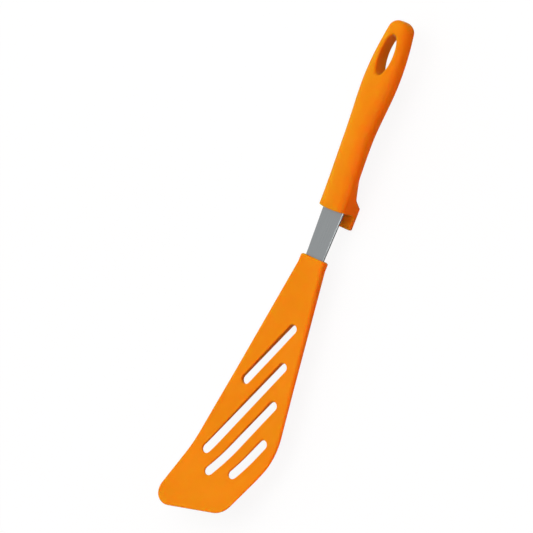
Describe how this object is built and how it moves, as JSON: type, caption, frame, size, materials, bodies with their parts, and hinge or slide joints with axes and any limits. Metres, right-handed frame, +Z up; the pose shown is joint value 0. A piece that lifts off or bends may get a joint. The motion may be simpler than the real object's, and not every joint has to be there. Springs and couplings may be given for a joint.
{
  "type": "slotted spatula",
  "caption": "Kitchen spatula with a moulded handle, hanging eye and pot-rim hook, a flat steel shank, and a slotted moulded blade with a slanting toe and an upturned tip.",
  "frame": {"origin": "middle of the flat of the foot, under the handle's lower end", "axes": "+Y along the spatula towards the butt of the handle, +Z up out of the front of the blade, +X to the right of the front"},
  "size_m": [0.0658, 0.3485, 0.0302],
  "materials": {
    "handle_plastic": "satin moulded, orange",
    "shank_steel": "fine lengthwise grain",
    "blade_plastic": "satin moulded, orange"
  },
  "bodies": {
    "root": {"handle": "handle_plastic", "shank": "shank_steel", "blade": "blade_plastic"}
  },
  "joints": []
}
